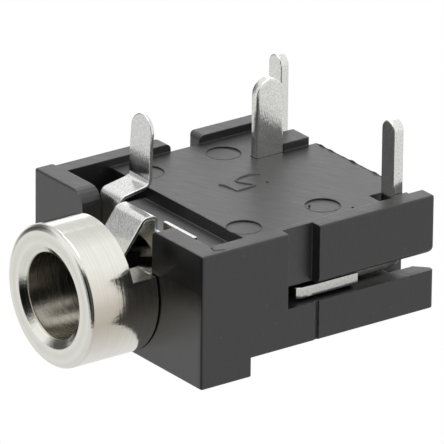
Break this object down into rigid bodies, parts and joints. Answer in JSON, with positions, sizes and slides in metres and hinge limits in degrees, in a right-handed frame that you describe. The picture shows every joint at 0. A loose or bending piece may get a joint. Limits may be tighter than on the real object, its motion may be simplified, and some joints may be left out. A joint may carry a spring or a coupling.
{
  "type": "audio jack socket",
  "caption": "Board-mount 3.5 mm stereo audio jack socket: black moulded body, turned metal bushing round the plug hole and stamped spring terminals with solder pins.",
  "frame": {"origin": "on the axis of the plug hole, in the plane of the moulding's front face", "axes": "+Y into the socket, the way the plug goes in; +Z to the circuit board, the way the solder pins point; +X across the socket"},
  "size_m": [0.0116, 0.0151, 0.009],
  "materials": {
    "black_plastic": "satin moulded",
    "turned_nickel": "turned and nickel plated",
    "stamped_nickel": "stamped and plated, satin"
  },
  "bodies": {
    "root": {"housing": "black_plastic", "bushing": "turned_nickel", "sleeve_terminal": "stamped_nickel", "tip_switch_terminal": "stamped_nickel", "tip_spring_terminal": "stamped_nickel", "ring_spring_terminal": "stamped_nickel"}
  },
  "joints": []
}
